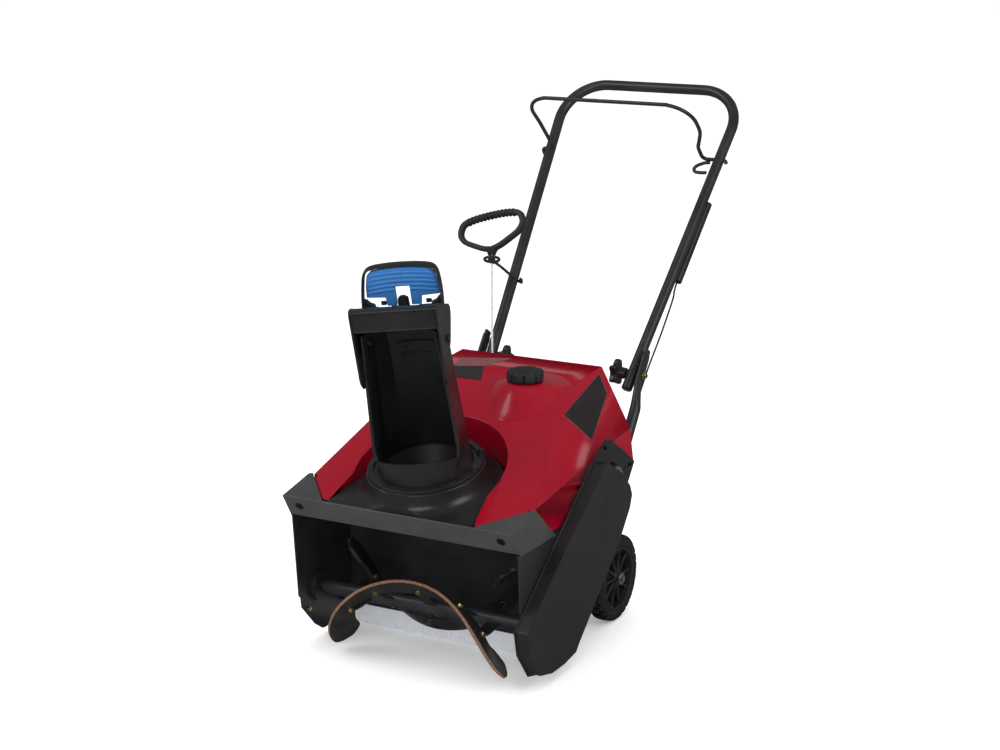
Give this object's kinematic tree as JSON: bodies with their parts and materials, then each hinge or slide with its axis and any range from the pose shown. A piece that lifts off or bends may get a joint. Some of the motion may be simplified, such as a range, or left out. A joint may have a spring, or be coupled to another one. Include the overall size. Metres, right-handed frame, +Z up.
{
  "type": "single stage snowblower",
  "caption": "Walk-behind snow thrower with a rubber paddle rotor in an open housing, a swivelling chute with a tilting cap, an engine hood, wheels and a folding handle.",
  "frame": {"origin": "on the ground, in the middle of the scraper's wear edge", "axes": "+Z up; -Y is the front, the way the machine moves and the intake faces; +X is the belt cover side"},
  "size_m": [0.5287, 1.1808, 0.971],
  "materials": {
    "black_steel": "satin black paint",
    "black_plastic": "slightly glossy moulded black",
    "grey_plastic": "fine grained dark grey",
    "red_shell": "gloss red",
    "blue_plastic": "satin blue",
    "pale_plastic": "milky translucent",
    "rubber": "matt",
    "tyre": "matt",
    "gold_zinc": "yellow zinc plate",
    "dark_steel": "dark",
    "bright_steel": "bright",
    "cast_aluminium": "cast",
    "rope": "braided",
    "red_plastic": "gloss",
    "grey_button": "satin"
  },
  "bodies": {
    "chassis": {"side_plate_left": "black_steel", "side_plate_right": "black_steel", "rotor_housing": "black_steel", "scraper": "pale_plastic", "housing_bolts": "gold_zinc", "discharge_duct": "black_steel", "deck_panel": "black_plastic", "front_lip": "grey_plastic", "hood": "red_shell", "engine_deck": "black_steel", "engine_block": "cast_aluminium", "cylinder_head": "cast_aluminium", "recoil_housing": "black_plastic", "fuel_tank": "black_plastic", "muffler": "dark_steel", "carburetor": "cast_aluminium", "starter_motor": "black_plastic", "drive_belt": "rubber", "belt_cover": "black_plastic", "cover_screws": "dark_steel", "control_panel": "black_plastic", "power_inlet": "black_plastic", "rotor_bearings": "black_plastic", "wheel_axle": "bright_steel", "axle_bolts": "bright_steel", "chute_ring": "black_plastic", "ring_bolts": "dark_steel", "lower_handle_left": "black_steel", "lower_handle_right": "black_steel"},
    "rotor": {"rotor_shaft": "black_steel", "rotor_frame": "black_steel", "rotor_paddles": "rubber", "rotor_bolts": "gold_zinc", "rotor_pulley": "bright_steel"},
    "crank": {"crank_pulley": "bright_steel"},
    "wheel_left": {"tyre_left": "tyre", "rim_left": "black_plastic"},
    "wheel_right": {"tyre_right": "tyre", "rim_right": "black_plastic"},
    "chute_body": {"chute": "black_plastic"},
    "deflector_body": {"deflector": "black_plastic", "deflector_pins": "dark_steel"},
    "trigger": {"deflector_trigger": "blue_plastic"},
    "handle": {"upper_handle": "black_steel", "cable_sleeve": "black_plastic", "control_cable": "bright_steel", "rope_guide": "black_steel"},
    "bail_body": {"bail": "black_steel"},
    "left_knob": {"knob_left": "black_plastic"},
    "right_knob": {"knob_right": "black_plastic"},
    "idler": {"idler_arm": "black_steel"},
    "idler_roller": {"idler_pulley": "bright_steel"},
    "grip": {"starter_grip": "black_plastic", "starter_rope": "rope"},
    "recoil": {"recoil_pulley": "cast_aluminium"},
    "cap": {"fuel_cap": "black_plastic"},
    "choke": {"choke_knob": "black_plastic"},
    "primer": {"primer_bulb": "rubber"},
    "key": {"ignition_key": "red_plastic"},
    "button": {"start_button": "grey_button"}
  },
  "joints": [
    {"name": "rotor_spin", "type": "hinge", "parent": "chassis", "child": "rotor", "pos_m": [0, -0.097, 0.102], "axis": [1, 0, 0], "continuous": true},
    {"name": "crank_spin", "type": "hinge", "parent": "chassis", "child": "crank", "pos_m": [0, 0.18, 0.3], "axis": [1, 0, 0], "continuous": true},
    {"name": "wheel_left_spin", "type": "hinge", "parent": "chassis", "child": "wheel_left", "pos_m": [-0.214, 0.248, 0.085], "axis": [1, 0, 0], "continuous": true},
    {"name": "wheel_right_spin", "type": "hinge", "parent": "chassis", "child": "wheel_right", "pos_m": [0.214, 0.248, 0.085], "axis": [1, 0, 0], "continuous": true},
    {"name": "chute_turn", "type": "hinge", "parent": "chassis", "child": "chute_body", "pos_m": [0, -0.09027, 0.36916], "axis": [0, -0.2419, 0.9703], "range_deg": [-122, 78]},
    {"name": "deflector_tilt", "type": "hinge", "parent": "chute_body", "child": "deflector_body", "pos_m": [0.00674, -0.16887, 0.61546], "axis": [0.9272, 0.3635, 0.0906], "range_deg": [-4, 50]},
    {"name": "trigger_squeeze", "type": "hinge", "parent": "deflector_body", "child": "trigger", "pos_m": [-0.01199, -0.13575, 0.67422], "axis": [0.9272, 0.3635, 0.0906], "range_deg": [-5, 5]},
    {"name": "handle_fold", "type": "hinge", "parent": "chassis", "child": "handle", "pos_m": [0, 0.444, 0.44], "axis": [1, 0, 0], "range_deg": [-85, 0], "deforming": ["starter_rope"]},
    {"name": "bail_swing", "type": "hinge", "parent": "handle", "child": "bail_body", "pos_m": [0, 0.77918, 0.82968], "axis": [1, 0, 0], "range_deg": [-80, 0]},
    {"name": "knob_left_turn", "type": "hinge", "parent": "chassis", "child": "left_knob", "pos_m": [-0.16, 0.444, 0.44], "axis": [1, 0, 0], "continuous": true},
    {"name": "knob_right_turn", "type": "hinge", "parent": "chassis", "child": "right_knob", "pos_m": [0.16, 0.444, 0.44], "axis": [1, 0, 0], "continuous": true},
    {"name": "idler_swing", "type": "hinge", "parent": "chassis", "child": "idler", "pos_m": [0.2374, 0.0965, 0.1556], "axis": [1, 0, 0], "range_deg": [0, 6]},
    {"name": "idler_roller_spin", "type": "hinge", "parent": "idler", "child": "idler_roller", "pos_m": [0.245, 0.1263, 0.1823], "axis": [1, 0, 0], "continuous": true},
    {"name": "starter_pull", "type": "slide", "parent": "chassis", "child": "grip", "axis": [-0.2429, 0.4338, 0.8676], "range_m": [0, 0.25]},
    {"name": "recoil_turn", "type": "hinge", "parent": "chassis", "child": "recoil", "pos_m": [-0.128, 0.18, 0.3], "axis": [1, 0, 0], "range_deg": [-300, 0]},
    {"name": "cap_turn", "type": "hinge", "parent": "chassis", "child": "cap", "pos_m": [0.076, 0.148, 0.494], "axis": [0, 0, 1], "continuous": true},
    {"name": "choke_turn", "type": "hinge", "parent": "chassis", "child": "choke", "pos_m": [-0.04, 0.323, 0.286], "axis": [0, 1, 0], "range_deg": [-90, 0]},
    {"name": "primer_press", "type": "slide", "parent": "chassis", "child": "primer", "axis": [0, -1, 0], "range_m": [0, 0.006]},
    {"name": "key_pull", "type": "slide", "parent": "chassis", "child": "key", "axis": [0, 1, 0], "range_m": [0, 0.012]},
    {"name": "button_press", "type": "slide", "parent": "chassis", "child": "button", "axis": [0, -1, 0], "range_m": [0, 0.004]}
  ],
  "couplings": [
    {"joint": "crank_spin", "follows": "rotor_spin", "ratio": 2.48},
    {"joint": "idler_swing", "follows": "bail_swing", "ratio": -0.0726},
    {"joint": "recoil_turn", "follows": "starter_pull", "rad_per_m": -20.5}
  ]
}
